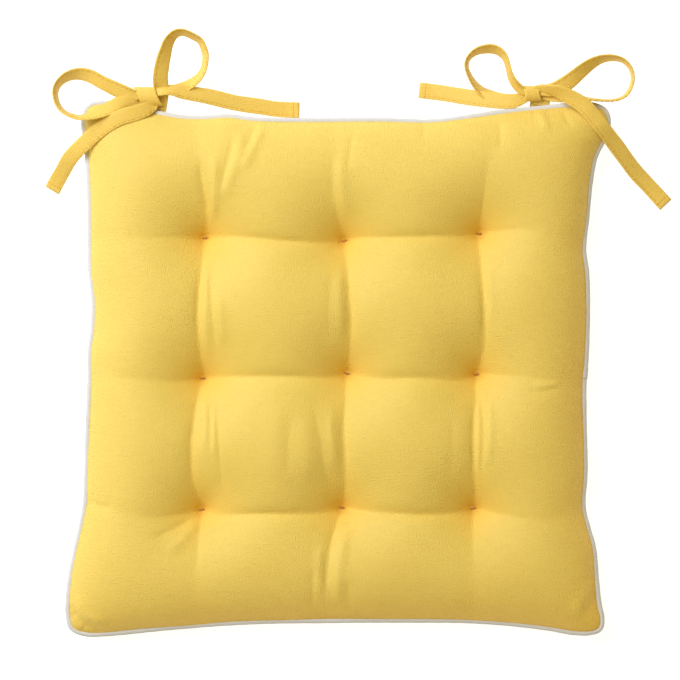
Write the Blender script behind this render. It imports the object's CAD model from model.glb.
"""The looks of a tufted chair seat pad: its cloth, piping, threads and tape ties, and the light on it.

Lengths are in metres. The pad lies on z = 0 and its ties are at the rear, towards +Y. The cloth coordinates
of a cover say how far each point is from the middle of the panel when the panel lies flat.
"""

import math

import bpy
import numpy as np
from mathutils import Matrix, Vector
from mathutils.bvhtree import BVHTree


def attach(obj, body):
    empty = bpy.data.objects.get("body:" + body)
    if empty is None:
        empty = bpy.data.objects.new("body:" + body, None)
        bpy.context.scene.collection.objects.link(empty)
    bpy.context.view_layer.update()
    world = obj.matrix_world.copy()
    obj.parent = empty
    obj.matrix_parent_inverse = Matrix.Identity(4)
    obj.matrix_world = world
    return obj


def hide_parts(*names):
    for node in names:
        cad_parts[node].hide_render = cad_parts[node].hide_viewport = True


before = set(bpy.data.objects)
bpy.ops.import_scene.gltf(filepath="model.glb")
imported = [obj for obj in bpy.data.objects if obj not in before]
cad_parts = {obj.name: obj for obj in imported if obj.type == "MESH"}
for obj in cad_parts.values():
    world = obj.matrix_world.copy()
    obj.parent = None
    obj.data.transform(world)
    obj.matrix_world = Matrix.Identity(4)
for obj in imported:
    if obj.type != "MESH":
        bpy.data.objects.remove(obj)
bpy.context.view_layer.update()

# Heights
SEAM_HEIGHT = 0.018
TUFT_TOP = 0.0175
TUFT_UNDERSIDE = 0.0095
TOP_CROWN = 0.0255
BELLY = 0.0215
COVER_GAP = 0.0015  # half the gap between the two covers at the seam
UNDERSIDE_FLOOR = 0.0002

# The covers' relief
EDGE_POWER = 6.5
DIMPLE_WIDTH = 0.017
VALLEY_WIDTH = 0.013
VALLEY_DEPTH = 0.27
CREASE_SOFTNESS = 0.0012
CREASE_DEPTH = 0.0016
CREASE_WIDTH = 0.0040
FULLNESS_POWER = 0.55
PULL_REACH = 0.042  # how far round a tuft the cloth is drawn towards it

# Where the covers keep their deep colour: near the seam's height, but not by the sides that face the light
FADED_RISE = 0.021
FADED_BELLY = 0.8  # the same for the bottom cover, as a share of its belly
BORDER_START = 0.15  # from the middle of the panel
BORDER_FADE = 0.04
SIDE_FADE = 0.30

# The cloth simulation: points along each side of a panel, and frames
TOP_POINTS, TOP_FRAMES = 161, 14
UNDER_POINTS, UNDER_FRAMES = 101, 10
STUFFING_PRESSURE = 600
HELD_REACH = 0.62  # of the gap between two points: it holds each tuft at the point nearest its mark

# Cloth as it was cut: from the middle of a panel to its seam, and from one tuft's mark to the next
CUT_HALF = 0.211
CUT_PITCH = 0.1085

# Where each tuft is sewn down, in rows from the front: x and y
TUFT_PLACES = (
    ((-0.1030, -0.1082), (0.0042, -0.1067), (0.1045, -0.1073)),
    ((-0.1020, -0.0079), (0.0082, -0.0042), (0.1068, -0.0050)),
    ((-0.1003, 0.0993), (0.0058, 0.0971), (0.1090, 0.1025)),
)

# Filling. Margins and spreads are counted in points of each panel.
FILLING_INSET = 0.0025
FILLING_FLOOR = 0.0015
FILLING_LEAST = 0.0004  # half its least thickness
TOP_MARGIN, UNDER_MARGIN = 8, 5
TOP_SPREAD, UNDER_SPREAD = 5, 4

# Piping and the threads of the seam
PIPING_RADIUS = 0.0023
PIPING_CLOTH = 0.0008
PIPING_JOIN = (0.190, -0.008)
PIPING_LAP, LAP_THICKNESS = 0.0085, 0.00045
SEAM_INSET = 0.0004
SEAM_STITCH_INSET, SEAM_THREAD_RADIUS = 0.0062, 0.0002
OVERLOCK_INSET, OVERLOCK_THREAD_RADIUS = 0.0086, 0.00025
OVERLOCK_SWING = 0.0006

# Tufts
TUFT_TURNS = (11, -8, 20, 4, -15, 9, 2, 16, -6)  # degrees
TURN_SHIFTS = (-0.0005, -0.0001, 0.0003)
TURN_REACH, TURN_RISE = 0.0013, 0.0006
TURN_RADIUS = 0.00030
POST_REACH, POST_RADIUS = 0.0019, 0.0004

# Tapes and their stitches
TAPE_WIDTH = 0.012
TAPE_THICKNESS = 0.0014
TAPE_STEP = 0.0016
TAPE_HEM = 0.007
TAPE_CLEARANCE = 0.0011
LEAD_POINTS = 5  # at the start of a tie, which lies under the piping
STITCH_RADIUS = 0.00022
STITCH_PITCH = 0.0027
FIRST_STITCH = 0.012
STITCH_LINE = 0.68  # as a share of the way from the tape's middle to its edge
LEAST_STITCHED = 0.72  # a tape more crumpled than this shows no stitches
HEM_STITCH_PLACE = 0.005

# The piping's middle line, side by side from corner to corner
LEFT_SIDE = (
    (-0.2015, -0.1985), (-0.2045, -0.188), (-0.2045, -0.176), (-0.2025, -0.158), (-0.1985, -0.138),
    (-0.1935, -0.116), (-0.1913, -0.101), (-0.1905, -0.080), (-0.1893, -0.045), (-0.1880, -0.010),
    (-0.1878, 0.012), (-0.1855, 0.030), (-0.1850, 0.052), (-0.1875, 0.075), (-0.1878, 0.100),
    (-0.1885, 0.140), (-0.1905, 0.170), (-0.1928, 0.186), (-0.1900, 0.198),
)
REAR_SIDE = (
    (-0.1900, 0.198), (-0.180, 0.202), (-0.160, 0.1995), (-0.138, 0.1945), (-0.118, 0.1910),
    (-0.100, 0.1905), (-0.082, 0.1915), (-0.062, 0.1893), (-0.020, 0.1885), (0.030, 0.1888),
    (0.070, 0.1877), (0.095, 0.1903), (0.125, 0.1947), (0.162, 0.1987), (0.190, 0.2007),
    (0.2015, 0.1985), (0.2063, 0.1935),
)
RIGHT_SIDE = (
    (0.2063, 0.1935), (0.2070, 0.185), (0.2030, 0.173), (0.1968, 0.160), (0.1932, 0.140),
    (0.1910, 0.115), (0.1884, 0.091), (0.1906, 0.072), (0.1914, 0.045), (0.1903, 0.010),
    (0.1886, -0.012), (0.1888, -0.040), (0.1895, -0.078), (0.1880, -0.104), (0.1912, -0.120),
    (0.1960, -0.138), (0.1980, -0.160), (0.2002, -0.180), (0.2024, -0.191), (0.2005, -0.1990),
)
FRONT_SIDE = (
    (0.2005, -0.1990), (0.192, -0.2018), (0.178, -0.2012), (0.163, -0.1985), (0.133, -0.1948),
    (0.103, -0.1928), (0.072, -0.1922), (0.020, -0.1922), (-0.035, -0.1927), (-0.081, -0.1942),
    (-0.112, -0.1967), (-0.142, -0.1992), (-0.172, -0.2022), (-0.190, -0.2028), (-0.2015, -0.1985),
)

# The sewn-down lines of the top, each from seam to seam through its tufts: x and y
COLUMN_VALLEYS = (
    (
        (-0.106, 0.188), (-0.104, 0.160), (-0.101, 0.130), (-0.0985, 0.113), (-0.1003, 0.0993),
        (-0.1015, 0.080), (-0.1035, 0.058), (-0.1052, 0.038), (-0.1035, 0.014), (-0.1020, -0.0079),
        (-0.1050, -0.022), (-0.1083, -0.042), (-0.1100, -0.064), (-0.1085, -0.086), (-0.1030, -0.1082),
        (-0.1045, -0.130), (-0.1060, -0.160), (-0.1070, -0.196),
    ),
    (
        (-0.002, 0.188), (-0.001, 0.162), (-0.0030, 0.143), (-0.0028, 0.130), (0.0015, 0.113),
        (0.0058, 0.0971), (0.0080, 0.080), (0.0095, 0.060), (0.0112, 0.036), (0.0100, 0.014),
        (0.0082, -0.0042), (0.0068, -0.024), (0.0056, -0.044), (0.0066, -0.070), (0.0066, -0.090),
        (0.0042, -0.1067), (-0.0005, -0.120), (-0.0045, -0.138), (-0.0070, -0.160), (-0.0095, -0.192),
    ),
    (
        (0.119, 0.193), (0.117, 0.165), (0.1130, 0.145), (0.1110, 0.124), (0.1090, 0.1025),
        (0.1088, 0.086), (0.1105, 0.066), (0.1125, 0.042), (0.1122, 0.018), (0.1068, -0.0050),
        (0.1058, -0.024), (0.1040, -0.046), (0.1040, -0.072), (0.1052, -0.092), (0.1045, -0.1073),
        (0.1030, -0.124), (0.1030, -0.150), (0.1040, -0.192),
    ),
)
ROW_VALLEYS = (
    (
        (-0.192, -0.103), (-0.178, -0.1045), (-0.160, -0.109), (-0.138, -0.1125), (-0.118, -0.111),
        (-0.1030, -0.1082), (-0.088, -0.111), (-0.060, -0.110), (-0.030, -0.1105), (-0.010, -0.1095),
        (0.0042, -0.1067), (0.022, -0.108), (0.045, -0.110), (0.068, -0.111), (0.088, -0.110),
        (0.1045, -0.1073), (0.120, -0.1095), (0.140, -0.1125), (0.160, -0.114), (0.188, -0.112),
    ),
    (
        (-0.188, -0.005), (-0.165, -0.006), (-0.142, -0.009), (-0.118, -0.0098), (-0.1020, -0.0079),
        (-0.085, -0.0066), (-0.055, -0.0060), (-0.028, -0.0068), (-0.008, -0.0070), (0.0082, -0.0042),
        (0.022, -0.0066), (0.040, -0.0080), (0.060, -0.0072), (0.082, -0.0090), (0.095, -0.0088),
        (0.1068, -0.0050), (0.122, -0.0048), (0.145, -0.0065), (0.165, -0.009), (0.188, -0.010),
    ),
    (
        (-0.188, 0.098), (-0.165, 0.0985), (-0.135, 0.0988), (-0.1003, 0.0993), (-0.082, 0.1000),
        (-0.062, 0.0985), (-0.040, 0.0963), (-0.018, 0.0950), (0.0058, 0.0971), (0.018, 0.0990),
        (0.045, 0.0990), (0.070, 0.0995), (0.090, 0.1000), (0.1090, 0.1025), (0.122, 0.1042),
        (0.140, 0.1050), (0.160, 0.1020), (0.188, 0.094),
    ),
)

# Folds and puckers in the top: how high (below zero for a crease), how wide, and the x and y of its line
FOLDS = (
    (-0.0016, 0.0022, ((-0.1035, 0.160), (-0.1015, 0.140), (-0.0985, 0.124), (-0.0960, 0.110))),
    (0.0013, 0.0034, ((-0.0925, 0.165), (-0.0915, 0.145), (-0.0925, 0.125), (-0.0950, 0.106))),
    (-0.0016, 0.0035, ((-0.0770, 0.178), (-0.0805, 0.160), (-0.0845, 0.145), (-0.0875, 0.130))),
    (0.0012, 0.0048, ((-0.0700, 0.184), (-0.0745, 0.162), (-0.0800, 0.145), (-0.0870, 0.124))),
    (-0.0012, 0.0028, ((-0.0610, 0.189), (-0.0645, 0.176), (-0.0690, 0.163))),
    (0.0012, 0.0040, ((-0.0540, 0.188), (-0.0590, 0.176), (-0.0660, 0.160), (-0.0720, 0.146))),
    (0.0010, 0.0046, ((0.0030, 0.165), (0.0035, 0.145), (0.0060, 0.125), (0.0090, 0.110))),
    (-0.0010, 0.0030, ((0.0125, 0.180), (0.0105, 0.166), (0.0090, 0.150))),
    (-0.0007, 0.0025, ((0.0655, 0.188), (0.0665, 0.180), (0.0650, 0.172))),
    (-0.0012, 0.0032, ((0.1225, 0.192), (0.1240, 0.178), (0.1235, 0.164))),
    (0.0011, 0.0034, ((0.1520, 0.1975), (0.1570, 0.188), (0.1600, 0.178))),
    (-0.0011, 0.0030, ((0.1720, 0.1985), (0.1745, 0.190), (0.1780, 0.181))),
    (0.0011, 0.0032, ((-0.0990, 0.092), (-0.0985, 0.060), (-0.0990, 0.030), (-0.0970, 0.006))),
    (-0.0013, 0.0022, ((-0.0968, 0.080), (-0.0950, 0.055), (-0.0930, 0.030), (-0.0905, 0.004))),
    (0.0009, 0.0034, ((-0.0890, 0.060), (-0.0870, 0.035), (-0.0850, 0.014))),
    (-0.0007, 0.0045, ((-0.0040, 0.072), (-0.0060, 0.045), (-0.0050, 0.016))),
    (0.0008, 0.0040, ((0.0030, 0.080), (0.0025, 0.050), (0.0035, 0.020))),
    (0.0009, 0.0034, ((0.1140, 0.084), (0.1165, 0.060), (0.1170, 0.030))),
    (0.0010, 0.0029, ((-0.0995, -0.018), (-0.0990, -0.045), (-0.1005, -0.070))),
    (-0.0009, 0.0018, ((-0.0955, -0.022), (-0.0955, -0.045), (-0.0960, -0.066))),
    (0.0009, 0.0023, ((-0.0928, -0.016), (-0.0922, -0.042), (-0.0915, -0.070))),
    (-0.0013, 0.0022, ((-0.0910, -0.026), (-0.0890, -0.056), (-0.0870, -0.084), (-0.0862, -0.104))),
    (0.0007, 0.0080, ((-0.0470, -0.026), (-0.0460, -0.060), (-0.0440, -0.090))),
    (-0.0009, 0.0055, ((-0.0370, -0.030), (-0.0360, -0.060), (-0.0380, -0.084))),
    (0.0009, 0.0069, ((-0.0240, -0.030), (-0.0230, -0.060), (-0.0190, -0.090))),
    (-0.0012, 0.0040, ((-0.0190, -0.020), (-0.0125, -0.050), (-0.0085, -0.076), (-0.0010, -0.098))),
    (0.0009, 0.0034, ((-0.0040, -0.024), (-0.0035, -0.050), (0.0000, -0.078))),
    (-0.0006, 0.0040, ((0.0860, -0.030), (0.0875, -0.060), (0.0860, -0.090))),
    (0.0010, 0.0018, ((0.1068, -0.018), (0.1072, -0.045), (0.1070, -0.070), (0.1065, -0.088))),
    (-0.0014, 0.0017, ((0.1085, -0.014), (0.1105, -0.036), (0.1108, -0.056), (0.1085, -0.082))),
    (0.0010, 0.0034, ((0.1150, -0.020), (0.1160, -0.046), (0.1140, -0.076))),
    (-0.0008, 0.0020, ((0.1400, -0.0165), (0.1540, -0.0175), (0.1720, -0.0135))),
    (0.0008, 0.0025, ((0.1460, -0.0125), (0.1580, -0.0130), (0.1720, -0.0095))),
    (-0.0012, 0.0026, ((0.0035, -0.110), (-0.0025, -0.124), (-0.0065, -0.144), (-0.0085, -0.172))),
    (0.0013, 0.0046, ((0.0080, -0.118), (0.0040, -0.136), (0.0015, -0.158), (0.0010, -0.180))),
    (0.0010, 0.0034, ((-0.0115, -0.130), (-0.0130, -0.150), (-0.0140, -0.176))),
    (-0.0012, 0.0030, ((-0.0170, -0.148), (-0.0180, -0.164), (-0.0175, -0.184))),
    (-0.0009, 0.0045, ((0.0085, -0.158), (0.0095, -0.172), (0.0090, -0.188))),
    (-0.0012, 0.0035, ((-0.1060, -0.1115), (-0.1200, -0.120), (-0.1420, -0.130))),
    (0.0010, 0.0046, ((-0.1030, -0.114), (-0.1160, -0.129), (-0.1300, -0.140))),
    (-0.0012, 0.0030, ((-0.1950, -0.102), (-0.1820, -0.1035), (-0.1680, -0.1065))),
    (-0.0016, 0.0026, ((-0.2020, -0.178), (-0.1985, -0.189), (-0.1900, -0.1955), (-0.1780, -0.1995))),
    (0.0012, 0.0032, ((-0.1970, -0.170), (-0.1935, -0.183), (-0.1850, -0.1895), (-0.1720, -0.194))),
    (-0.0009, 0.0050, ((0.2000, -0.166), (0.1940, -0.178), (0.1860, -0.192))),
    (0.0008, 0.0050, ((0.1920, -0.164), (0.1860, -0.176), (0.1780, -0.190))),
)

# Tape routes: x, y and z, roll in degrees (0 flat, 90 on edge, positive with the right edge up) and the
# share of the tape's width that it keeps where it is crumpled
LEFT_OUTER_LEG = (
    (-0.1385, 0.1970, 0.0142, 0, 1.0), (-0.1395, 0.2010, 0.0142, 0, 0.8), (-0.1405, 0.2045, 0.0155, 0, 0.6),
    (-0.1420, 0.2078, 0.0180, 0, 0.5), (-0.1450, 0.2090, 0.0205, 0, 0.5), (-0.1500, 0.2080, 0.0220, 5, 0.6),
    (-0.1560, 0.2078, 0.0232, 12, 0.85), (-0.1654, 0.2112, 0.0235, 25, 1),
    (-0.1784, 0.2175, 0.0222, 34, 1), (-0.1883, 0.2228, 0.0205, 42, 1), (-0.1980, 0.2243, 0.0190, 52, 1),
    (-0.2069, 0.2217, 0.0180, 63, 1), (-0.2131, 0.2156, 0.0180, 72, 1), (-0.2144, 0.2086, 0.0195, 76, 1),
    (-0.2118, 0.2005, 0.0235, 76, 1), (-0.2065, 0.1945, 0.0285, 74, 1), (-0.1973, 0.1903, 0.0325, 68, 1),
    (-0.1900, 0.1902, 0.0335, 60, 1), (-0.1824, 0.1922, 0.0325, 46, 1), (-0.1719, 0.1972, 0.0295, 28, 1),
    (-0.1631, 0.2018, 0.0260, 12, 0.9), (-0.1540, 0.2034, 0.0220, 0, 0.7), (-0.1470, 0.2055, 0.0185, 0, 0.5),
    (-0.1400, 0.2088, 0.0195, 10, 0.45), (-0.1330, 0.2110, 0.0217, 34, 0.7),
    (-0.1262, 0.2118, 0.0203, 38, 0.9), (-0.1165, 0.2107, 0.0165, 18, 1),
    (-0.0971, 0.2078, 0.0110, 6, 1), (-0.0776, 0.2036, 0.0065, 0, 1),
    (-0.0581, 0.2010, 0.0035, 0, 1), (-0.0485, 0.1995, 0.0022, 0, 1), (-0.0387, 0.1988, 0.0014, 0, 1),
    (-0.0286, 0.1985, 0.0010, 0, 1),
)
LEFT_INNER_LEG = (
    (-0.1362, 0.1968, 0.0150, 0, 1.0), (-0.1355, 0.2010, 0.0150, 0, 1.0), (-0.1347, 0.2055, 0.0155, 0, 1.0),
    (-0.1340, 0.2100, 0.0172, 0, 1.0), (-0.1338, 0.2145, 0.0200, -8, 1.0),
    (-0.1340, 0.2210, 0.0235, -22, 1.0), (-0.1325, 0.2305, 0.0255, -32, 1),
    (-0.1303, 0.2393, 0.0265, -42, 1), (-0.1273, 0.2480, 0.0265, -55, 1), (-0.1225, 0.2538, 0.0255, -68, 1),
    (-0.1165, 0.2553, 0.0240, -74, 1), (-0.1089, 0.2524, 0.0220, -72, 1), (-0.1036, 0.2489, 0.0200, -68, 1),
    (-0.1006, 0.2419, 0.0180, -62, 1), (-0.1001, 0.2358, 0.0162, -62, 1), (-0.1019, 0.2278, 0.0142, -60, 1),
    (-0.1062, 0.2217, 0.0125, -54, 1), (-0.1132, 0.2169, 0.0115, -46, 1), (-0.1211, 0.2139, 0.0118, -35, 0.8),
    (-0.1300, 0.2120, 0.0125, -18, 0.6), (-0.1380, 0.2100, 0.0130, 0, 0.45),
    (-0.1422, 0.2070, 0.0145, 0, 0.45), (-0.1408, 0.2036, 0.0160, 0, 0.55),
    (-0.1402, 0.2003, 0.0190, 0, 0.7), (-0.1440, 0.1972, 0.0250, 0, 0.9), (-0.1518, 0.1937, 0.0280, 0, 1),
    (-0.1649, 0.1893, 0.0300, 0, 1), (-0.1781, 0.1814, 0.0300, 0, 1), (-0.1912, 0.1709, 0.0275, 0, 1),
    (-0.2026, 0.1604, 0.0205, 0, 1), (-0.2096, 0.1508, 0.0120, 0, 1), (-0.2150, 0.1430, 0.0062, 0, 1),
    (-0.2188, 0.1367, 0.0030, 0, 1),
)
RIGHT_INNER_LEG = (
    (0.1562, 0.1998, 0.0150, 0, 1.0), (0.1572, 0.2035, 0.0152, 0, 1.0), (0.1570, 0.2072, 0.0162, 0, 1.0),
    (0.1530, 0.2100, 0.0188, 0, 0.6), (0.1470, 0.2105, 0.0198, 0, 0.5),
    (0.1415, 0.2115, 0.0205, 25, 0.55), (0.1360, 0.2165, 0.0215, 60, 0.8), (0.1325, 0.2230, 0.0212, 74, 1),
    (0.1308, 0.2300, 0.0205, 78, 1), (0.1284, 0.2372, 0.0195, 76, 1), (0.1236, 0.2420, 0.0185, 70, 1),
    (0.1167, 0.2438, 0.0175, 66, 1), (0.1074, 0.2420, 0.0165, 70, 1), (0.1012, 0.2370, 0.0155, 74, 1),
    (0.0995, 0.2305, 0.0140, 72, 1), (0.1030, 0.2217, 0.0120, 66, 1), (0.1096, 0.2135, 0.0100, 52, 1),
    (0.1180, 0.2085, 0.0095, 34, 1), (0.1265, 0.2062, 0.0105, 20, 0.8), (0.1370, 0.2070, 0.0135, 5, 0.5),
    (0.1460, 0.2098, 0.0165, 0, 0.45), (0.1545, 0.2125, 0.0215, -30, 0.6), (0.1653, 0.2108, 0.0270, -48, 0.9),
    (0.1752, 0.2066, 0.0290, -30, 1), (0.1859, 0.2003, 0.0300, -10, 1), (0.1940, 0.1922, 0.0295, 0, 1),
    (0.2039, 0.1804, 0.0255, 0, 1), (0.2148, 0.1679, 0.0180, 0, 1), (0.2283, 0.1517, 0.0090, 0, 1),
    (0.2400, 0.1399, 0.0045, 0, 1), (0.2535, 0.1256, 0.0025, 0, 1),
)
RIGHT_OUTER_LEG = (
    (0.1535, 0.1998, 0.0136, 0, 1.0), (0.1525, 0.2040, 0.0138, 0, 0.8), (0.1505, 0.2090, 0.0172, 0, 0.5),
    (0.1560, 0.2110, 0.0205, -5, 0.6), (0.1630, 0.2118, 0.0225, -8, 0.85), (0.1707, 0.2140, 0.0235, -12, 1),
    (0.1788, 0.2195, 0.0240, -20, 1), (0.1859, 0.2255, 0.0240, -32, 1), (0.1940, 0.2315, 0.0235, -50, 1),
    (0.2022, 0.2352, 0.0225, -66, 1), (0.2103, 0.2362, 0.0215, -74, 1), (0.2184, 0.2344, 0.0205, -80, 1),
    (0.2240, 0.2291, 0.0195, -83, 1), (0.2262, 0.2219, 0.0185, -84, 1), (0.2249, 0.2147, 0.0180, -83, 1),
    (0.2208, 0.2082, 0.0182, -82, 1), (0.2130, 0.2045, 0.0195, -81, 1), (0.2030, 0.2040, 0.0205, -80, 1),
    (0.1914, 0.2050, 0.0205, -76, 1), (0.1824, 0.2058, 0.0200, -66, 1), (0.1724, 0.2062, 0.0190, -42, 0.8),
    (0.1630, 0.2070, 0.0178, -20, 0.6), (0.1545, 0.2085, 0.0165, 0, 0.45), (0.1475, 0.2075, 0.0175, 0, 0.45),
    (0.1420, 0.2048, 0.0190, 0, 0.6), (0.1334, 0.2033, 0.0185, 0, 0.9), (0.1185, 0.2048, 0.0145, 0, 1),
    (0.1028, 0.2073, 0.0100, 0, 1), (0.0835, 0.2110, 0.0045, 0, 1), (0.0730, 0.2127, 0.0022, 0, 1),
    (0.0637, 0.2139, 0.0012, 0, 1),
)
LEFT_KNOT = (-0.1437, 0.2072, 0.0188)
LEFT_KNOT_WIDTH, LEFT_KNOT_LEAN = 0.0158, -0.0028
RIGHT_KNOT = (0.1490, 0.2095, 0.0175)
RIGHT_KNOT_WIDTH, RIGHT_KNOT_LEAN = 0.0124, -0.0010
LEFT_EXIT = (-0.138, 0.1970, 0.0150)
RIGHT_EXIT = (0.154, 0.1998, 0.0150)
LEG_NODES = {"outer": ("outer_loop", "free_tail", "lead"), "inner": ("inner_loop", "draped_tail")}

# Weave and colours
THREAD_PITCH = 0.00048
BIAS = 0.785  # a strip cut at 45 degrees to its threads
YELLOW, YELLOW_SHADE = (0.86, 0.668, 0.156, 1), (0.76, 0.525, 0.074, 1)
OCHRE, OCHRE_SHADE = (0.97, 0.50, 0.012, 1), (0.86, 0.41, 0.008, 1)
TAPE_YELLOW, TAPE_SHADE = (0.85, 0.61, 0.128, 1), (0.75, 0.475, 0.052, 1)
WHITE, WHITE_SHADE = (0.64, 0.665, 0.76, 1), (0.54, 0.56, 0.63, 1)
CORD, CORD_SHADE = (0.88, 0.86, 0.80, 1), (0.66, 0.62, 0.54, 1)
FIBRE, FIBRE_SHADE = (0.93, 0.93, 0.91, 1), (0.70, 0.70, 0.68, 1)
THREAD, THREAD_SHADE = (0.72, 0.42, 0.07, 1), (0.42, 0.20, 0.02, 1)
TOPSTITCH, TOPSTITCH_SHADE = (0.84, 0.53, 0.07, 1), (0.62, 0.34, 0.03, 1)
TUFT_YARN, TUFT_YARN_SHADE = (0.66, 0.31, 0.05, 1), (0.50, 0.20, 0.03, 1)
SOFT_SHEEN = {
    "Sheen_Weight": 0.05,
    "Sheen_Roughness": 0.5,
    "Specular_IOR_Level": 0.6,
    "Coat_Weight": 0.27,
    "Coat_Roughness": 0.56,
    "Coat_IOR": 1.8,
}
HOLLOW_SHARE = 0.42  # how much of the deep colour the hollows show
RARE = 0.86  # noise is above this in few places
FLECK_SHARE = 0.17
FLECK_DARKNESS = 0.72

# Camera and light
CAMERA_PLACE = (0.0027, 0.0214, 1.8)
CAMERA_LENS = 123.6
PAD_MIDDLE = (0, 0, 0.02)
KEY_PLACE = (-1.05, 0.97, 1.45)
KEY_SIZE = 1.5
KEY_WATTS = 42
SKY_LIGHT, SKY_BACKDROP = (1, 0.82, 0.36, 1), (1.9, 1.9, 1.9, 1)
SKY_STRENGTH = 0.50
FLOOR_HALF = 6
FLOOR_HEIGHT = -0.0003
FLOOR_GREY, FLOOR_GLOW_COLOUR = (0.5, 0.5, 0.5, 1), (0.92, 0.94, 1, 1)
FLOOR_GLOW = 0.85


# ---------------------------------------------------------------- finishes


class Wire:
    """A node's output. Arithmetic on it adds Math nodes."""

    def __init__(self, finish, socket):
        self.finish, self.socket = finish, socket

    def maths(self, operation, *values):
        return self.finish.add("ShaderNodeMath", {"operation": operation}, dict(enumerate(values)))

    def __add__(self, other):
        return self.maths("ADD", self, other)

    def __sub__(self, other):
        return self.maths("SUBTRACT", self, other)

    def __rsub__(self, other):
        return self.maths("SUBTRACT", other, self)

    def __mul__(self, other):
        return self.maths("MULTIPLY", self, other)

    def __gt__(self, other):
        return self.maths("GREATER_THAN", self, other)

    def sine(self):
        return self.maths("SINE", self)

    def __abs__(self):
        return self.maths("ABSOLUTE", self)

    __radd__ = __add__
    __rmul__ = __mul__


class Finish:
    """A material under construction."""

    def __init__(self, name, **constants):
        self.material = bpy.data.materials.new(name)
        self.material.use_nodes = True
        self.tree = self.material.node_tree
        self.shader = self.tree.nodes["Principled BSDF"]
        for socket, value in constants.items():
            self.shader.inputs[socket.replace("_", " ")].default_value = value

    def add(self, kind, settings=None, inputs=None, output=0):
        made = self.tree.nodes.new(kind)
        for name, value in (settings or {}).items():
            setattr(made, name, value)
        for name, value in (inputs or {}).items():
            self.join(value, made.inputs[name])
        return Wire(self, made.outputs[output])

    def join(self, value, socket):
        if isinstance(value, Wire):
            self.tree.links.new(value.socket, socket)
        else:
            socket.default_value = value

    def feed(self, socket, value):
        self.join(value, self.shader.inputs[socket])

    def mix(self, first, second, share):
        """A colour between two colours."""
        return self.add("ShaderNodeMix", {"data_type": "RGBA"}, {0: share, 6: first, 7: second}, 2)

    def stretched(self, place, scale):
        return self.add("ShaderNodeVectorMath", {"operation": "MULTIPLY"}, {0: place, 1: scale})

    def noise(self, place, scale, detail=2.0):
        """Noise from 0 to 1 whose grain is 1 / scale long on each axis."""
        inputs = {"Vector": self.stretched(place, scale), "Scale": 1.0, "Detail": detail}
        return self.add("ShaderNodeTexNoise", {}, inputs)

    def split(self, vector):
        """The X and the Y of a vector."""
        node = self.add("ShaderNodeSeparateXYZ", {}, {0: vector}).socket.node
        return Wire(self, node.outputs["X"]), Wire(self, node.outputs["Y"])

    def bump(self, height, distance):
        return self.add("ShaderNodeBump", {}, {"Height": height, "Distance": distance, "Strength": 1.0})


def woven(name, colour, shade, deep=None, turn=0.0, depth=0.00062, **constants):
    """Plain-weave cotton. It reads its threads' places from the cloth coordinates. Deep colours, where they
    are given, show where the piece's "hollow" attribute is high and light and wear haven't faded it."""
    finish = Finish(name, **constants)
    cloth = finish.add("ShaderNodeUVMap", {"uv_map": "cloth"})
    if turn:
        turned = {"Vector": cloth, "Angle": turn}
        cloth = finish.add("ShaderNodeVectorRotate", {"rotation_type": "Z_AXIS"}, turned)
    wander = finish.noise(cloth, (90, 90, 1), 1.0) * 0.0006
    across, along = finish.split(cloth)
    warp = across + wander
    weft = along + wander
    wave = math.pi / THREAD_PITCH
    ridges = abs((warp * wave).sine()) + abs((weft * wave).sine())
    over = (warp * (wave / 2)).sine() * (weft * (wave / 2)).sine()
    warp_streaks = finish.noise(cloth, (1 / 0.0011, 1 / 0.016, 1), 3.0)
    weft_streaks = finish.noise(cloth, (1 / 0.016, 1 / 0.0011, 1), 3.0)
    grain = finish.noise(cloth, (1 / 0.0013, 1 / 0.0013, 1), 3.0)
    patches = finish.noise(cloth, (22, 22, 1), 2.0)
    slubs = finish.noise(cloth, (1 / 0.006, 1 / 0.0014, 1), 0.0) > RARE
    specks = finish.noise(cloth, (1 / 0.0016, 1 / 0.0035, 1), 0.0) > RARE
    uneven = (warp_streaks + weft_streaks) * 0.5 + grain * 0.8 - 0.4 + (patches - 0.5) * 0.35
    brightness = uneven * 0.6 + 0.58
    dyed = finish.mix(shade, colour, brightness)
    if deep:
        hollow = finish.add("ShaderNodeAttribute", {"attribute_name": "hollow"}, {}, "Fac")
        dyed = finish.mix(dyed, finish.mix(deep[1], deep[0], brightness), hollow * HOLLOW_SHARE)
    fleck = tuple(FLECK_DARKNESS * part for part in shade[:3]) + (1,)
    finish.feed("Base Color", finish.mix(dyed, fleck, (slubs + specks) * FLECK_SHARE))
    finish.feed("Roughness", 0.86 + grain * 0.1)
    pebble = finish.noise(cloth, (1 / 0.0011, 1 / 0.0011, 1), 2.0)
    threads = ridges * 0.10 + over * 0.12 + (warp_streaks + weft_streaks) * 0.35
    finish.feed("Normal", finish.bump(threads + grain * 0.6 + pebble * 1.5 + slubs * 0.5, depth))
    return finish.material


def spun(name, colour, shade, pitch=0.0009, depth=0.0001, **constants):
    """Twisted thread or cord: its strands run slantwise round it."""
    finish = Finish(name, **constants)
    cloth = finish.add("ShaderNodeUVMap", {"uv_map": "cloth"})
    along, around = finish.split(cloth)
    slant = along + around * 1.6
    strands = abs((slant * (math.pi / pitch)).sine())
    fuzz = finish.noise(cloth, (2600, 2600, 1), 3.0)
    finish.feed("Base Color", finish.mix(shade, colour, strands * 0.7 + fuzz * 0.3))
    finish.feed("Roughness", 0.7 + fuzz * 0.2)
    finish.feed("Normal", finish.bump(strands + fuzz * 0.6, depth))
    return finish.material


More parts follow.
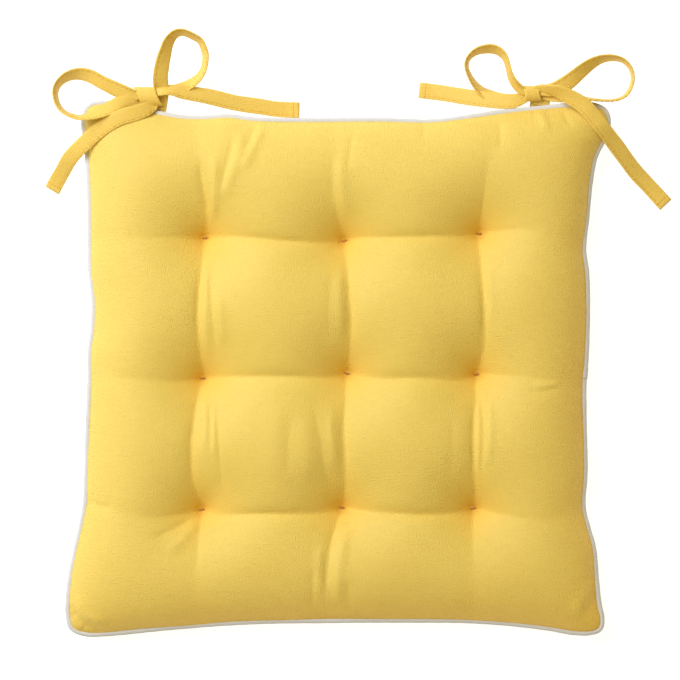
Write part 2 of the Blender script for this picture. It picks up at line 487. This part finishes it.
def carded(name):
    """Loose white fibre."""
    finish = Finish(name, Roughness=1.0, Sheen_Weight=0.4)
    place = finish.add("ShaderNodeTexCoord", {}, {}, "Object")
    strands = finish.noise(place, (900, 60, 300), 6.0)
    tufts = finish.noise(place, (60, 60, 60), 4.0)
    finish.feed("Base Color", finish.mix(FIBRE_SHADE, FIBRE, strands * 0.6 + tufts * 0.5))
    finish.feed("Roughness", 0.9 + strands * 0.1)
    finish.feed("Normal", finish.bump(strands + tufts * 2, 0.0012))
    return finish.material


# ---------------------------------------------------------------- meshes and lines


def mesh_piece(name, places, faces, cloth, finish):
    """A smooth piece from its points, faces and cloth coordinates."""
    data = bpy.data.meshes.new(name)
    data.from_pydata(np.asarray(places).tolist(), [], [tuple(int(i) for i in face) for face in faces])
    corners = np.empty(len(data.loops), np.int32)
    data.loops.foreach_get("vertex_index", corners)
    layer = data.uv_layers.new(name="cloth")
    layer.data.foreach_set("uv", np.asarray(cloth, np.float32)[corners].ravel())
    data.shade_smooth()
    data.materials.append(finish)
    made = bpy.data.objects.new(name, data)
    bpy.context.scene.collection.objects.link(made)
    return made


def grid_faces(count, upwards=True):
    """The faces of a square grid of points, as point numbers."""
    index = np.arange(count * count).reshape(count, count)
    faces = np.stack([index[:-1, :-1], index[:-1, 1:], index[1:, 1:], index[1:, :-1]], -1).reshape(-1, 4)
    return faces if upwards else faces[:, ::-1]


def on_body(made, slot, *nodes):
    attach(made, "root")
    if nodes:
        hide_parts(*nodes)
    return made


def smooth_line(rows, step, closed=False):
    """Points about one step apart on a smooth curve through the rows; all the columns follow."""
    rows = np.asarray(rows, float)
    if closed:
        ends = np.vstack([rows[-1], rows, rows[0], rows[1]])
    else:
        ends = np.vstack([2 * rows[0] - rows[1], rows, 2 * rows[-1] - rows[-2]])
    fine = []
    for before, start, end, after in zip(ends, ends[1:], ends[2:], ends[3:]):
        share = np.linspace(0, 1, 24, endpoint=False)[:, None]
        fine.append(
            0.5
            * (
                2 * start
                + (end - before) * share
                + (2 * before - 5 * start + 4 * end - after) * share**2
                + (3 * start - before - 3 * end + after) * share**3
            )
        )
    fine = np.vstack([*fine, rows[0] if closed else rows[-1]])
    return respaced(fine, step)


def lengths_along(line, columns=3):
    gaps = np.linalg.norm(np.diff(line[:, :columns], axis=0), axis=1)
    return np.concatenate([[0], np.cumsum(gaps)])


def respaced(line, step):
    along = lengths_along(line, min(3, line.shape[1]))
    count = max(2, round(along[-1] / step) + 1)
    at = np.linspace(0, along[-1], count)
    return np.stack([np.interp(at, along, column) for column in line.T], 1)


def unit(rows):
    return rows / np.maximum(np.linalg.norm(rows, axis=-1, keepdims=True), 1e-9)


def frames_along(line, roll=0.0):
    """For each point of a line: the way along it, the way across the tape and the way out of its face."""
    along = unit(np.gradient(line, axis=0))
    level = unit(np.cross(along, (0, 0, 1)))
    rise = np.cross(level, along)
    turn = np.radians(roll)[:, None] if np.ndim(roll) else math.radians(roll)
    across = level * np.cos(turn) + rise * np.sin(turn)
    return along, across, np.cross(across, along)


def swept(name, line, across, outwards, section, finish, caps=True):
    """A section carried along a line. The section is an array (stations, points, 2): across and outwards."""
    section = np.broadcast_to(section, (len(line), *np.shape(section)[-2:]))
    section = np.concatenate([section, section[:, :1]], 1)
    places = line[:, None] + section[..., :1] * across[:, None] + section[..., 1:] * outwards[:, None]
    stations, round_count = places.shape[:2]
    index = np.arange(stations * round_count).reshape(stations, round_count)
    quads = np.stack([index[:-1, :-1], index[1:, :-1], index[1:, 1:], index[:-1, 1:]], -1).reshape(-1, 4)
    faces = list(quads)
    if caps:
        faces += [index[0, :-1], index[-1, -2::-1]]
    around = np.linalg.norm(np.diff(section, axis=1), axis=2)
    around = np.concatenate([np.zeros((stations, 1)), np.cumsum(around, 1)], 1)
    cloth = np.stack([np.repeat(lengths_along(line)[:, None], round_count, 1), around], -1)
    return mesh_piece(name, places.reshape(-1, 3), faces, cloth.reshape(-1, 2), finish)


def circle(radius, sides):
    angles = np.linspace(0, 2 * math.pi, sides, endpoint=False)
    return np.stack([radius * np.cos(angles), radius * np.sin(angles)], -1)


def cord_piece(name, line, radius, finish, sides=8):
    _, across, outwards = frames_along(line)
    return swept(name, line, across, outwards, circle(radius, sides), finish)


def joined(name, made):
    """Several meshes as one piece."""
    with bpy.context.temp_override(active_object=made[0], selected_editable_objects=made):
        bpy.ops.object.join()
    made[0].name = made[0].data.name = name
    return made[0]


# ---------------------------------------------------------------- outline of the pad


def piping_line():
    """The piping's middle line as a closed loop of fine points, anticlockwise, and where its corners are."""
    sides = (RIGHT_SIDE[::-1], REAR_SIDE[::-1], LEFT_SIDE[::-1], FRONT_SIDE[::-1])
    rows = np.array([place for side in sides for place in side[:-1]])
    line = smooth_line(np.c_[rows, np.full(len(rows), SEAM_HEIGHT)], 0.001, closed=True)[:-1]
    corners = [np.argmin(np.hypot(*(line[:, :2] - side[0]).T)) for side in sides]
    return line, corners


def inwards(line):
    """The level direction into the pad at each point of a closed anticlockwise loop."""
    along = unit(np.roll(line, -3, 0) - np.roll(line, 3, 0))
    return np.cross((0, 0, 1), along)


def side_shares(loop, first, last, count):
    """Points at equal shares of the stretch of a loop from one corner to the next."""
    stretch = np.roll(loop, -first, 0)[: (last - first) % len(loop) + 1]
    along = lengths_along(stretch, 2)
    return np.stack([np.interp(np.linspace(0, along[-1], count), along, column) for column in stretch.T], 1)


def panel_plan(count):
    """The level place of each point of a panel's grid, filled in from its four sides."""
    loop, corners = piping_line()
    seam = loop + inwards(loop) * SEAM_INSET
    seam = seam[:, :2]
    right, rear, left, front = (
        side_shares(seam, corners[i], corners[(i + 1) % 4], count) for i in range(4)
    )
    rear, left = rear[::-1], left[::-1]
    share = np.linspace(0, 1, count)
    s, t = share[None, :, None], share[:, None, None]
    plan = (1 - s) * left[:, None] + s * right[:, None] + (1 - t) * front[None] + t * rear[None]
    plan -= (1 - s) * (1 - t) * left[0] + s * (1 - t) * right[0] + (1 - s) * t * left[-1] + s * t * right[-1]
    return plan


def cut_places(count):
    """Cloth coordinates of a panel's grid."""
    share = np.linspace(-CUT_HALF, CUT_HALF, count)
    return np.stack(np.meshgrid(share, share), -1)


def tuft_marks():
    """Each tuft as its row, its column, its mark on the cloth and its place in plan."""
    for row, places in enumerate(TUFT_PLACES):
        for column, place in enumerate(places):
            yield row, column, np.array([(column - 1) * CUT_PITCH, (row - 1) * CUT_PITCH]), np.array(place)


def drawn_to_tufts(plan, cut):
    """The plan, moved so that each tuft's mark is where the tuft is sewn down."""
    moved = plan.copy()
    for _, _, mark, place in tuft_marks():
        away = np.linalg.norm(cut - mark, axis=-1)
        here = plan.reshape(-1, 2)[away.argmin()]
        moved += np.exp(-((away / PULL_REACH) ** 2))[..., None] * (place - here)
    return moved


# ---------------------------------------------------------------- covers


def along_route(plan, route, reach):
    """For each place in plan: how far it is from a route, and how far along the route it is from 0 to 1."""
    line = smooth_line(np.asarray(route), 0.001)
    away = np.full(plan.shape[:-1], 1.0)
    share = np.zeros(plan.shape[:-1])
    low, high = line.min(0) - reach, line.max(0) + reach
    near = ((plan[..., :2] > low) & (plan[..., :2] < high)).all(-1)
    gaps = np.linalg.norm(plan[near][:, None, :2] - line, axis=-1)
    closest = gaps.argmin(1)
    away[near] = gaps[np.arange(len(gaps)), closest]
    share[near] = closest / (len(line) - 1)
    return away, share


def valley(plan, routes):
    """How deep in the nearest sewn-down line each place is: 1 in its crease, 0 out on the cells."""
    away = np.min([along_route(plan, route, VALLEY_WIDTH * 7)[0] for route in routes], axis=0)
    rounded = np.hypot(away, CREASE_SOFTNESS) - CREASE_SOFTNESS
    return np.exp(-rounded / VALLEY_WIDTH)


def puffed(plan, cut):
    """How full the pad is at each point of a panel, from 0 at the seam and the tufts to 1, and the same
    without its tufts and valleys."""
    full = np.prod(np.clip(1 - np.abs(cut / CUT_HALF) ** EDGE_POWER, 0, 1) ** FULLNESS_POWER, axis=-1)
    dimples = np.zeros(plan.shape[:2])
    for _, _, _, place in tuft_marks():
        away = np.linalg.norm(plan - place, axis=-1)
        dimples = np.maximum(dimples, np.exp(-away / DIMPLE_WIDTH))
    hollow = 1.0
    for axis, routes in ((1, COLUMN_VALLEYS), (0, ROW_VALLEYS)):
        outside = np.clip((np.abs(cut[..., axis]) - CUT_PITCH) / (CUT_HALF - CUT_PITCH), 0, 1)
        depth = VALLEY_DEPTH * (1 - 0.8 * outside**0.8)
        hollow = hollow * (1 - depth * valley(plan, routes))
    return full * hollow * (1 - dimples), full


def folded(grid, cut):
    """The top with its creases and folds pressed into it, each moving the cloth along its own normal."""
    normal = unit(np.cross(np.gradient(grid, axis=1), np.gradient(grid, axis=0)))
    moved = np.zeros(grid.shape[:2])
    for axis, routes in ((1, COLUMN_VALLEYS), (0, ROW_VALLEYS)):
        outside = np.clip((np.abs(cut[..., axis]) - CUT_PITCH) / (CUT_HALF - CUT_PITCH), 0, 1)
        away = np.min([along_route(grid, route, CREASE_WIDTH * 6)[0] for route in routes], axis=0)
        moved -= CREASE_DEPTH * np.exp(-away / CREASE_WIDTH) * np.clip(1 - 1.6 * outside, 0, 1)
    for height, width, route in FOLDS:
        away, share = along_route(grid, route, width * 4)
        fade = np.clip(np.minimum(share, 1 - share) / 0.3, 0, 1)
        profile = np.exp(-away / width) if height < 0 else np.exp(-((away / width) ** 2))
        moved += height * profile * fade * fade * (3 - 2 * fade)
    return grid + normal * moved[..., None]


def finer(grid):
    """The grid with a point put between each two, on a smooth curve."""
    for _ in range(2):
        ends = np.concatenate([2 * grid[:1] - grid[1:2], grid, 2 * grid[-1:] - grid[-2:-1]])
        between = (9 * (grid[:-1] + grid[1:]) - ends[:-3] - ends[3:]) / 16
        rows = np.empty((2 * len(grid) - 1, *grid.shape[1:]))
        rows[::2], rows[1::2] = grid, between
        grid = np.swapaxes(rows, 0, 1)
    return grid


def simulated(name, start, cut, held, upwards, frames):
    """The cloth of one panel after the stuffing has pressed it out, from its start and its cut shape."""
    count = len(start)
    data = bpy.data.meshes.new(name)
    data.from_pydata(start.reshape(-1, 3).tolist(), [], grid_faces(count, upwards).tolist())
    panel = bpy.data.objects.new(name, data)
    bpy.context.scene.collection.objects.link(panel)
    panel.shape_key_add(name="start")
    flat = panel.shape_key_add(name="cut")
    flat.data.foreach_set("co", np.dstack([cut, np.zeros((count, count))]).ravel())
    sewn = panel.vertex_groups.new(name="sewn down")
    sewn.add([int(i) for i in np.flatnonzero(held)], 1, "REPLACE")
    modifier = panel.modifiers.new("cloth", "CLOTH")
    cloth = modifier.settings
    cloth.quality = 5
    cloth.mass = 0.3
    cloth.tension_stiffness = cloth.compression_stiffness = 15
    cloth.shear_stiffness = 5
    cloth.bending_stiffness = 0.05
    cloth.tension_damping = cloth.compression_damping = cloth.shear_damping = 5
    cloth.vertex_group_mass = "sewn down"
    cloth.rest_shape_key = flat
    cloth.effector_weights.gravity = 0
    cloth.use_pressure = True
    cloth.uniform_pressure_force = STUFFING_PRESSURE
    modifier.collision_settings.use_collision = False
    modifier.point_cache.frame_end = frames
    for step in range(1, frames + 1):
        bpy.context.scene.frame_set(step)
    settled = panel.evaluated_get(bpy.context.evaluated_depsgraph_get()).data
    places = np.empty(count * count * 3, np.float32)
    settled.vertices.foreach_get("co", places)
    bpy.data.objects.remove(panel)
    bpy.context.scene.frame_set(1)
    return places.reshape(count, count, 3).astype(float)


def held_points(cut, reach):
    """The points of a panel that its seam and its tufts hold."""
    held = np.abs(cut).max(axis=-1) > CUT_HALF - 1e-6
    for _, _, mark, _ in tuft_marks():
        held |= np.linalg.norm(cut - mark, axis=-1) < reach
    return held


def panel_shape(name, count, upwards, frames):
    """The grid of a cover's outer face, and its cloth coordinates."""
    cut = cut_places(count)
    plan = drawn_to_tufts(panel_plan(count), cut)
    puff, full = puffed(plan, cut)
    if upwards:
        height = SEAM_HEIGHT + COVER_GAP + full * (TUFT_TOP - SEAM_HEIGHT - COVER_GAP) + TOP_CROWN * puff
    else:
        height = SEAM_HEIGHT - COVER_GAP + full * (TUFT_UNDERSIDE - SEAM_HEIGHT + COVER_GAP) - BELLY * puff
    start = np.dstack([plan, height])
    reach = HELD_REACH * 2 * CUT_HALF / (count - 1)
    return simulated(name, start, cut, held_points(cut, reach), upwards, frames), cut


def cover(name, shape, cut, finish, upwards):
    """A cover as a piece. Its "hollow" attribute is 1 low down by the seam and the tufts and 0 on the crowns,
    and it fades to 0 along the two sides that face the light."""
    shape, cut = finer(shape), finer(cut)
    if upwards:
        shape = folded(shape, cut)
    faces = grid_faces(len(shape), upwards)
    made = mesh_piece(name, shape.reshape(-1, 3), faces, cut.reshape(-1, 2) + 0.3, finish)
    rise = np.abs(shape[..., 2] - SEAM_HEIGHT) / (FADED_RISE if upwards else BELLY * FADED_BELLY)
    border = np.clip((np.abs(cut).max(-1) - BORDER_START) / BORDER_FADE, 0, 1)
    away_from_light = np.clip(0.5 + (shape[..., 0] - shape[..., 1]) / SIDE_FADE, 0, 1)
    hollow = np.clip(1 - rise, 0, 1) * (1 - border * (1 - away_from_light))
    attribute = made.data.attributes.new("hollow", "FLOAT", "POINT")
    attribute.data.foreach_set("value", hollow.ravel().astype(np.float32))
    return made


# ---------------------------------------------------------------- filling, piping and threads


def lowest_near(heights, steps):
    """Each height made the lowest within this many steps of it on the grid."""
    for _ in range(steps):
        padded = np.pad(heights, 1, mode="edge")
        rows, columns = heights.shape
        shifted = [padded[i : i + rows, j : j + columns] for i in range(3) for j in range(3)]
        heights = np.min(shifted, axis=0)
    return heights


def filling(top_shape, bottom_shape):
    """The fibre, a little inside both covers."""
    inner = slice(TOP_MARGIN, -TOP_MARGIN, 4)
    plan = top_shape[inner, inner, :2]
    count = len(plan)
    under_last = len(bottom_shape) - 1 - UNDER_MARGIN
    under_rows = np.linspace(UNDER_MARGIN, under_last, count).round().astype(int)
    upper = lowest_near(top_shape[..., 2], TOP_SPREAD)[inner, inner] - FILLING_INSET
    lower = -lowest_near(-bottom_shape[..., 2], UNDER_SPREAD)[np.ix_(under_rows, under_rows)] + FILLING_INSET
    lower = np.maximum(lower, FILLING_FLOOR)
    middle = (upper + lower) / 2
    upper, lower = np.maximum(upper, middle + FILLING_LEAST), np.minimum(lower, middle - FILLING_LEAST)
    places = np.vstack([np.dstack([plan, height]).reshape(-1, 3) for height in (upper, lower)])
    under = count * count
    index = np.arange(under).reshape(count, count)
    rim = np.concatenate([index[0, :-1], index[:-1, -1], index[-1, :0:-1], index[:0:-1, 0]])
    walls = np.stack([np.roll(rim, -1), rim, rim + under, np.roll(rim, -1) + under], -1)
    faces = np.vstack([grid_faces(count), grid_faces(count, upwards=False) + under, walls])
    made = mesh_piece("fibre_filling_batt", places, faces, places[:, :2], fibre)
    return on_body(made, "polyester_fibre", "fibre_filling")


def piping():
    """The covered piping cord, with the strip's folded end over its other end at the join."""
    loop, _ = piping_line()
    start = np.argmin(np.hypot(*(loop[:, :2] - PIPING_JOIN).T))
    loop = np.roll(loop, -start, 0)
    loop = np.vstack([loop, loop[:1]])
    along = lengths_along(loop)
    puckers = 0.00006 * np.sin(along / 0.0021 + 2 * np.sin(along / 0.013)) + 0.00008 * np.sin(along / 0.011)
    radius = PIPING_RADIUS + puckers + np.where(along < PIPING_LAP, LAP_THICKNESS, 0)
    _, across, outwards = frames_along(loop)
    section = circle(1.0, 14)[None] * radius[:, None, None]
    lift = 0.0004 * np.sin(along / 0.031) + 0.0003 * np.sin(along / 0.012 + 1)
    loop[:, 2] += lift * np.clip(np.minimum(along, along[-1] - along) / 0.02, 0, 1)
    made = swept("white_piping", loop, across, outwards, section, white)
    on_body(made, "white_cotton", "piping_sleeve")
    inner = cord_piece("piping_core", loop[::4], PIPING_RADIUS - PIPING_CLOTH, core)
    on_body(inner, "cotton_cord", "piping_cord")
    return loop


def seam_stitches(loop):
    """The lock-stitch of the seam and the overlock on its raw edges, inside the pad."""
    closed = loop[:-1]
    into = inwards(closed)
    stitch_line = (closed + into * SEAM_STITCH_INSET + (0, 0, 0.0003))[::4]
    edge = (closed + into * OVERLOCK_INSET)[::3]
    edge[1::2] += (0, 0, OVERLOCK_SWING)
    edge[::2] -= (0, 0, OVERLOCK_SWING)
    for name, line, radius, node in (
        ("seam_stitching", stitch_line, SEAM_THREAD_RADIUS, "seam_thread"),
        ("overlock_stitching", edge, OVERLOCK_THREAD_RADIUS, "overlock_thread"),
    ):
        made = cord_piece(name, np.vstack([line, line[:1]]), radius, thread, 6)
        on_body(made, "yellow_thread", node)


def surface_of(*names):
    """The faces of finished pieces, to rest other pieces on."""
    places, faces = [], []
    for name in names:
        data = bpy.data.objects[name].data
        start = len(places)
        places += [vertex.co.copy() for vertex in data.vertices]
        faces += [tuple(start + i for i in face.vertices) for face in data.polygons]
    return BVHTree.FromPolygons(places, faces)


def tuft_turns(foot, ahead, aside, surface, up):
    """The turns of thread that lie on one face of the pad, arched over the tuft."""
    turns = []
    for number, shift in enumerate(TURN_SHIFTS):
        share = np.linspace(0, math.pi, 9)[:, None]
        lean = aside * (shift + 0.0004 * np.sin(share * 2 + number))
        line = foot + lean - ahead * TURN_REACH * np.cos(share)
        for point, arch in zip(line, np.sin(share[:, 0])):
            above = Vector((point[0], point[1], 0.1 * up))
            point[2] = surface.ray_cast(above, Vector((0, 0, -up)))[0].z + up * (0.0001 + TURN_RISE * arch)
        turns.append(cord_piece("turn", line, TURN_RADIUS, tuft_yarn, 6))
    return turns


def tufts(top_surface, bottom_surface):
    """At each tuft, a few tight turns of thread on both faces and the strands between them."""
    for (row, column, _, place), degrees in zip(tuft_marks(), TUFT_TURNS):
        turn = math.radians(degrees)
        ahead = np.array([math.cos(turn), math.sin(turn), 0])
        aside = np.array([-math.sin(turn), math.cos(turn), 0])
        foot = np.array([*place, 0])
        strands = tuft_turns(foot, ahead, aside, top_surface, 1)
        strands += tuft_turns(foot, ahead, aside, bottom_surface, -1)
        for side in (-1, 1):
            post = np.linspace(TUFT_UNDERSIDE, TUFT_TOP, 4)[:, None] * (0, 0, 1)
            post = post + foot + ahead * POST_REACH * side
            across, outwards = np.tile((1.0, 0, 0), (4, 1)), np.tile((0, 1.0, 0), (4, 1))
            strands.append(swept("post", post, across, outwards, circle(POST_RADIUS, 6), tuft_yarn))
        made = joined(f"tuft_stitch_{row + 1}_{column + 1}", strands)
        on_body(made, "yellow_thread", f"tuft_thread_row{row + 1}_column{column + 1}")


# ---------------------------------------------------------------- tape ties


def tape_section(width, thickness):
    """The folded tape's section: a rounded fold at one edge and a thinner stitched edge at the other."""
    half = width / 2
    upper = [(-1.0, 0.0), (-0.97, 0.62), (-0.86, 1.0), (-0.45, 0.92), (0.1, 0.88)]
    upper += [(0.5, 0.9), (0.66, 0.62), (0.82, 0.85), (0.96, 0.7), (1.0, 0.0)]
    lower = [(x, -y) for x, y in reversed(upper[1:-1])]
    outline = np.array(upper + lower)
    return outline * np.stack([half, np.full_like(half, thickness / 2)], -1)[:, None]


def lay_on(route, ground):
    """A tape's heights, raised where the pad would be in its way and smoothed. Its start isn't raised,
    because it comes out from under the piping."""
    heights = []
    for x, y, z, *_ in route:
        for dx, dy in ((0, 0), (0.004, 0), (-0.004, 0), (0, 0.004), (0, -0.004)):
            hit = ground.ray_cast(Vector((x + dx, y + dy, 0.2)), Vector((0, 0, -1)))[0]
            if hit is not None:
                z = max(z, hit.z + TAPE_CLEARANCE)
        heights.append(z)
    heights = np.array(heights)
    heights[:LEAD_POINTS] = route[:LEAD_POINTS, 2]
    weights = np.hanning(11)[1:-1] / np.hanning(11).sum()
    return np.convolve(np.pad(heights, 4, mode="edge"), weights, "valid")


def stitch(foot, way, aside, out, reach, rise):
    """One stitch through foot, along way, that stands off the tape by rise."""
    line = foot + way * np.linspace(-reach, reach, 4)[:, None] + out * np.array([0, rise, rise, 0])[:, None]
    section = circle(STITCH_RADIUS, 5)
    return swept("stitch", line, np.tile(aside, (4, 1)), np.tile(out, (4, 1)), section, topstitching)


def tape_stitches(name, line, frames, width, thick, share):
    """The stitches along the tape's open edge and the row across its hem, on both faces."""
    along = lengths_along(line)
    stitches = []
    for at in np.arange(FIRST_STITCH, along[-1] - 0.004, STITCH_PITCH):
        here = np.abs(along - at).argmin()
        if share[here] < LEAST_STITCHED:
            continue
        way, across, out = (rows[here] for rows in frames)
        seam = line[here] + across * (width[here] / 2 * STITCH_LINE)
        for face in (1, -1):
            foot = seam + out * face * (thick[here] / 2 * 0.72)
            stitches.append(stitch(foot, way, across, out, 0.00085, 0.00018 * face))
    hem = np.abs(along - (along[-1] - HEM_STITCH_PLACE)).argmin()
    way, across, out = (rows[hem] for rows in frames)
    for side in np.linspace(-0.78, 0.78, 5):
        for face in (1, -1):
            foot = line[hem] + across * side * width[hem] / 2 + out * face * thick[hem] * 0.44
            stitches.append(stitch(foot, across, way, out, 0.0008, 0.0002 * face))
    return on_body(joined(name + "_stitching", stitches), "yellow_thread")


def tie_leg(name, rows, nodes, ground, flip):
    """One half of a tie, from the seam through its loop to the end of its tail, with its top-stitching."""
    route = smooth_line(rows, TAPE_STEP)
    route[:, 2] = lay_on(route, ground)
    line, roll, share = route[:, :3], route[:, 3], route[:, 4]
    along = lengths_along(line)
    wave = 2.5 * np.sin(along / 0.017 + flip) + 1.5 * np.sin(along / 0.0073 + 2 * flip)
    way, across, outwards = frames_along(line, roll + wave)
    across, outwards = across * flip, outwards * flip
    width = TAPE_WIDTH * share * (1 + 0.012 * np.sin(along / 0.0047))
    hemmed = np.where(along > along[-1] - TAPE_HEM, 1.35, 1.0)
    thick = TAPE_THICKNESS * (1 + 0.9 * (1 - share)) * hemmed
    made = swept(name, line, across, outwards, tape_section(width, thick), tape_cotton)
    stitching = tape_stitches(name, line, (way, across, outwards), width, thick, share)
    on_body(made, "yellow_tape", *nodes)


def knot(name, centre, width, lean, node):
    """The turn of tape round the middle of a bow."""
    angles = np.linspace(0, 2 * math.pi, 41)
    level, zero = np.cos(angles), np.zeros(41)
    round_y, round_z = 0.42 * width, 0.0046
    line = np.stack([lean * level, round_y * level, round_z * np.sin(angles)], -1)
    across = np.tile((1.0, 0, 0), (41, 1))
    outwards = unit(np.stack([zero, level / round_y, np.sin(angles) / round_z], -1))
    section = tape_section(width + 0.0010 * np.cos(angles * 2), np.full(41, 0.0015))
    rumple = 1 + 0.10 * np.sin(np.linspace(0, 9, section.shape[1]))[None, :, None] * np.array([0, 1])
    made = swept(name, line + centre, across, outwards, section * rumple, tape_cotton, caps=False)
    return on_body(made, "yellow_tape", node)


# ---------------------------------------------------------------- stage


def add_camera():
    data = bpy.data.cameras.new("camera")
    data.lens = CAMERA_LENS
    camera = bpy.data.objects.new("camera", data)
    camera.location = CAMERA_PLACE
    bpy.context.scene.collection.objects.link(camera)
    bpy.context.scene.camera = camera


def add_floor():
    """A pale floor that glows, so that the pad's shadow on it stays faint."""
    data = bpy.data.meshes.new("floor")
    corners = [(-1, -1), (1, -1), (1, 1), (-1, 1)]
    data.from_pydata([(x * FLOOR_HALF, y * FLOOR_HALF, FLOOR_HEIGHT) for x, y in corners], [], [(0, 1, 2, 3)])
    floor = bpy.data.objects.new("floor", data)
    bpy.context.scene.collection.objects.link(floor)
    finish = Finish("white floor", Roughness=0.9, Base_Color=FLOOR_GREY, Emission_Strength=FLOOR_GLOW)
    finish.shader.inputs["Emission Color"].default_value = FLOOR_GLOW_COLOUR
    data.materials.append(finish.material)


def area_light(name, place, size, watts):
    data = bpy.data.lights.new(name, "AREA")
    data.size, data.energy = size, watts
    light = bpy.data.objects.new(name, data)
    light.location = place
    light.rotation_euler = (Vector(PAD_MIDDLE) - Vector(place)).to_track_quat("-Z", "Y").to_euler()
    bpy.context.scene.collection.objects.link(light)


def add_sky():
    """A warm sky to light the pad. Behind the pad it shows as white."""
    sky = bpy.data.worlds.new("soft studio")
    sky.use_nodes = True
    nodes, links = sky.node_tree.nodes, sky.node_tree.links
    rays = nodes.new("ShaderNodeLightPath")
    tint = nodes.new("ShaderNodeMix")
    tint.data_type = "RGBA"
    tint.inputs[6].default_value, tint.inputs[7].default_value = SKY_LIGHT, SKY_BACKDROP
    links.new(rays.outputs["Is Camera Ray"], tint.inputs[0])
    links.new(tint.outputs[2], nodes["Background"].inputs[0])
    nodes["Background"].inputs[1].default_value = SKY_STRENGTH
    bpy.context.scene.world = sky


# ---------------------------------------------------------------- the scene

add_camera()
bpy.context.scene.view_settings.view_transform = "Standard"

cotton = woven("yellow cotton", YELLOW, YELLOW_SHADE, (OCHRE, OCHRE_SHADE), **SOFT_SHEEN)
tape_cotton = woven("yellow tape", TAPE_YELLOW, TAPE_SHADE, depth=0.0005, **SOFT_SHEEN)
white = woven("white piping cotton", WHITE, WHITE_SHADE, turn=BIAS, depth=0.0002)
fibre = carded("polyester fibre")
core = spun("cotton cord", CORD, CORD_SHADE, pitch=0.0016, depth=0.0004, Roughness=0.95)
thread = spun("yellow thread", THREAD, THREAD_SHADE, Roughness=0.7)
topstitching = spun("tape thread", TOPSTITCH, TOPSTITCH_SHADE, Roughness=0.7)
tuft_yarn = spun("tuft thread", TUFT_YARN, TUFT_YARN_SHADE, Roughness=0.7)

top_shape, top_cut = panel_shape("top panel", TOP_POINTS, True, TOP_FRAMES)
bottom_shape, bottom_cut = panel_shape("bottom panel", UNDER_POINTS, False, UNDER_FRAMES)
bottom_shape[..., 2] = np.maximum(bottom_shape[..., 2], UNDERSIDE_FLOOR)
top = on_body(cover("top_cover_cloth", top_shape, top_cut, cotton, True), "yellow_cotton", "top_cover")
bottom = cover("bottom_cover_cloth", bottom_shape, bottom_cut, cotton, False)
on_body(bottom, "yellow_cotton", "bottom_cover")

loop = piping()
filling(top_shape, bottom_shape)
seam_stitches(loop)
tufts(surface_of("top_cover_cloth"), surface_of("bottom_cover_cloth"))
ground = surface_of("white_piping", "top_cover_cloth")
for side, part, rows, exit_point, flip in (
    ("left", "outer", LEFT_OUTER_LEG, LEFT_EXIT, 1),
    ("left", "inner", LEFT_INNER_LEG, LEFT_EXIT, -1),
    ("right", "inner", RIGHT_INNER_LEG, RIGHT_EXIT, 1),
    ("right", "outer", RIGHT_OUTER_LEG, RIGHT_EXIT, -1),
):
    nodes = [f"{side}_tie_{stretch}" for stretch in LEG_NODES[part]]
    tie_leg(f"{side}_tie_{part}_leg", rows, nodes, ground, flip)
knot("left_tie_knot_turn", LEFT_KNOT, LEFT_KNOT_WIDTH, LEFT_KNOT_LEAN, "left_tie_knot")
knot("right_tie_knot_turn", RIGHT_KNOT, RIGHT_KNOT_WIDTH, RIGHT_KNOT_LEAN, "right_tie_knot")
for side in ("left", "right"):
    for node, finish in ((f"{side}_tie_anchor", tape_cotton), (f"{side}_tie_bartack", thread)):
        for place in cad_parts[node].material_slots:
            place.material = finish

add_floor()
area_light("key light", KEY_PLACE, KEY_SIZE, KEY_WATTS)
add_sky()
